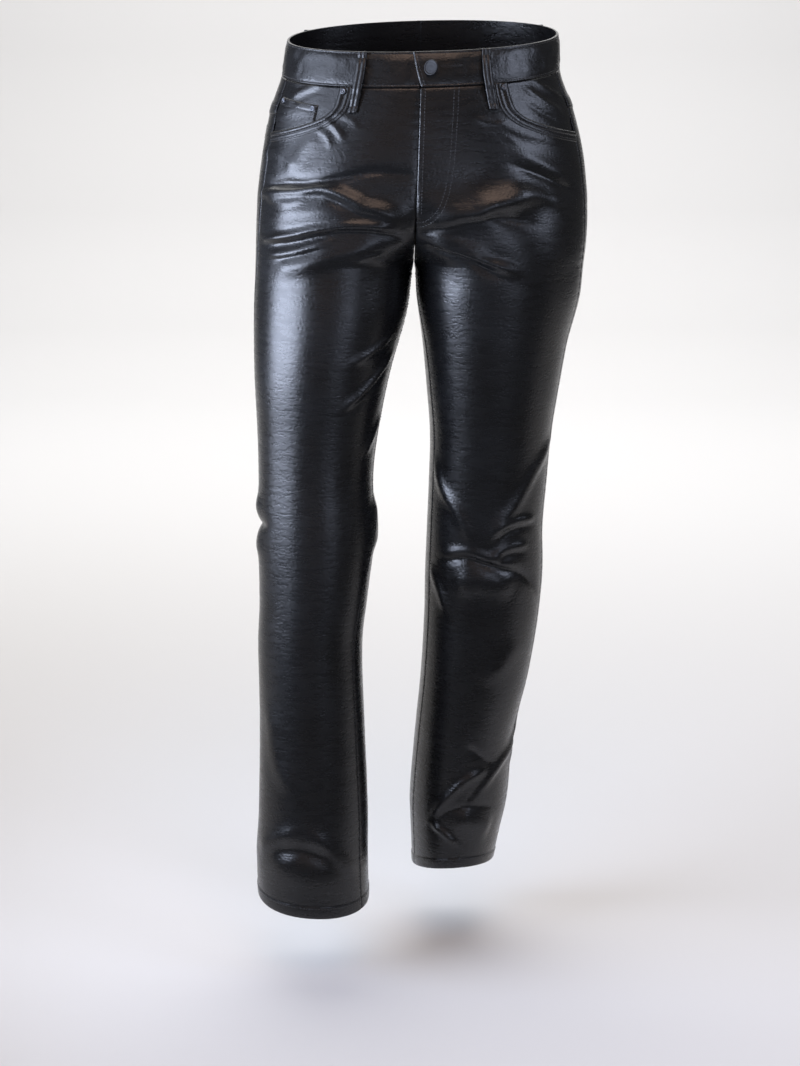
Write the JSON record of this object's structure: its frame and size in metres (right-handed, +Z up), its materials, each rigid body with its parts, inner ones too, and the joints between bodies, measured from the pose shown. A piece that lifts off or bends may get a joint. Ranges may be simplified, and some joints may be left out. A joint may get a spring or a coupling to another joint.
{
  "type": "leather trousers",
  "caption": "Worn straight-leg five-pocket leather trousers as a hollow shell: waistband with belt loops and button, yoked back, open waist and hems.",
  "frame": {"origin": "middle of the waist opening, level with the waist seam at the side seams, where the wearer holds the trousers up", "axes": "+Z up, the front faces -Y, and +X is the wearer's left"},
  "size_m": [0.3854, 0.272, 1.031],
  "materials": {
    "leather": "glossy black coated leather",
    "waistband_leather": "glossy black coated leather",
    "facing_leather": "glossy black coated leather",
    "loop_leather": "black leather, stitched in close rows",
    "button_metal": "matte dark lacquer",
    "rivet_metal": "satin dark lacquer"
  },
  "bodies": {
    "root": {"front_right": "leather", "front_left": "leather", "back_right": "leather", "back_left": "leather", "yoke_right": "leather", "yoke_left": "leather", "back_pocket_right": "leather", "back_pocket_left": "leather", "waistband_right": "waistband_leather", "waistband_left": "waistband_leather", "pocket_facing_right": "facing_leather", "pocket_facing_left": "facing_leather", "coin_pocket": "facing_leather", "belt_loop_front_right": "loop_leather", "belt_loop_front_left": "loop_leather", "belt_loop_back_right": "loop_leather", "belt_loop_back_left": "loop_leather", "belt_loop_centre": "loop_leather", "button": "button_metal", "rivet_pocket_right": "rivet_metal", "rivet_pocket_left": "rivet_metal", "rivet_coin_outer": "rivet_metal", "rivet_coin_inner": "rivet_metal"}
  },
  "joints": []
}
